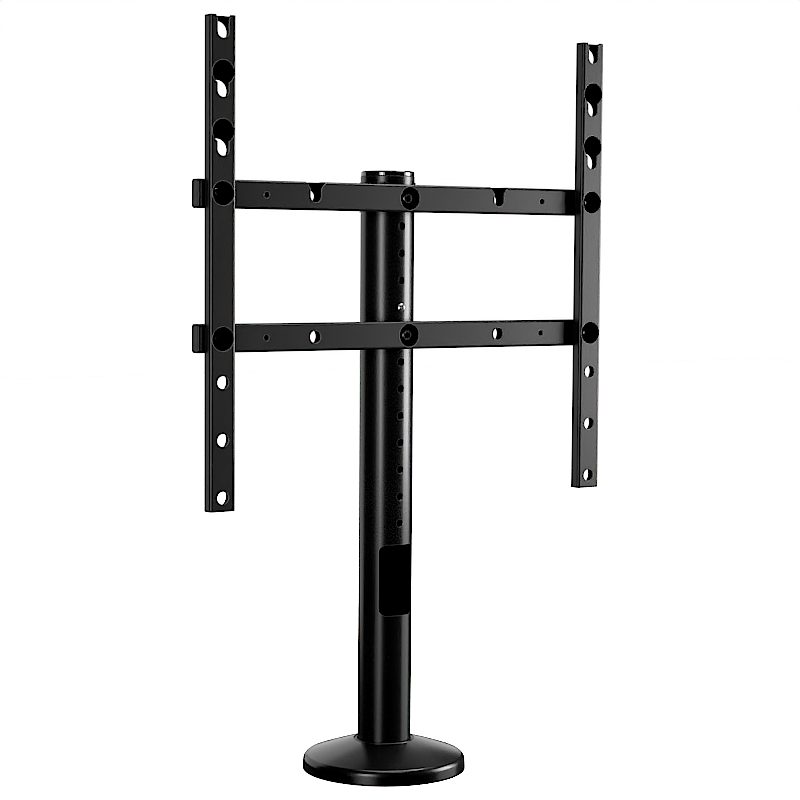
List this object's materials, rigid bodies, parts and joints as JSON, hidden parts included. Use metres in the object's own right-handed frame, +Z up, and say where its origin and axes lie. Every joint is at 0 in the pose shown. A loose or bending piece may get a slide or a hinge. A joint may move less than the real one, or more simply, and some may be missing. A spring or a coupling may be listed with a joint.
{
  "type": "table-top screen swivel mount",
  "caption": "Table-top swivel mount for a flat screen: round weighted base, perforated column turning on a post, and a frame of crossbars with slotted hanging rails.",
  "frame": {"origin": "on the column's axis, in the plane of the table", "axes": "+Z up along the column, +X along the crossbars, -Y towards the screen"},
  "size_m": [0.435, 0.1528, 0.6855],
  "materials": {
    "lacquer_black": "glossy black lacquer, slight orange peel",
    "powder_black": "satin black powder coat, fine grain",
    "cap_black": "glossy moulded plastic",
    "plug_black": "matt moulded plastic",
    "saddle_black": "moulded plastic, slight sheen",
    "acetal_natural": "natural acetal, waxy",
    "rubber_black": "fine ribbed rubber sheet",
    "steel_turned": "turned and greased",
    "steel_zinc": "zinc plated",
    "steel_dark": "phosphated and oiled, nearly black",
    "screw_black": "black zinc plated, shiny"
  },
  "bodies": {
    "base": {"base_pad": "rubber_black", "base_plate": "powder_black", "swivel_post": "steel_turned", "thrust_washer": "acetal_natural", "friction_washer": "acetal_natural", "post_nut": "steel_zinc", "base_cover": "lacquer_black"},
    "turret": {"lower_bush": "acetal_natural", "upper_bush": "acetal_natural", "column": "lacquer_black", "column_cap": "cap_black", "nut_strip": "steel_dark", "strip_screw": "steel_zinc", "upper_saddle": "saddle_black", "lower_saddle": "saddle_black", "upper_crossbar": "powder_black", "lower_crossbar": "powder_black", "crossbar_end_plugs": "plug_black", "left_rail": "powder_black", "right_rail": "powder_black", "rail_bolts": "screw_black", "centre_bolts": "screw_black", "centre_washers": "steel_dark"}
  },
  "joints": [
    {"name": "swivel", "type": "hinge", "parent": "base", "child": "turret", "pos_m": [0, 0, 0.01], "axis": [0, 0, 1], "continuous": true}
  ]
}
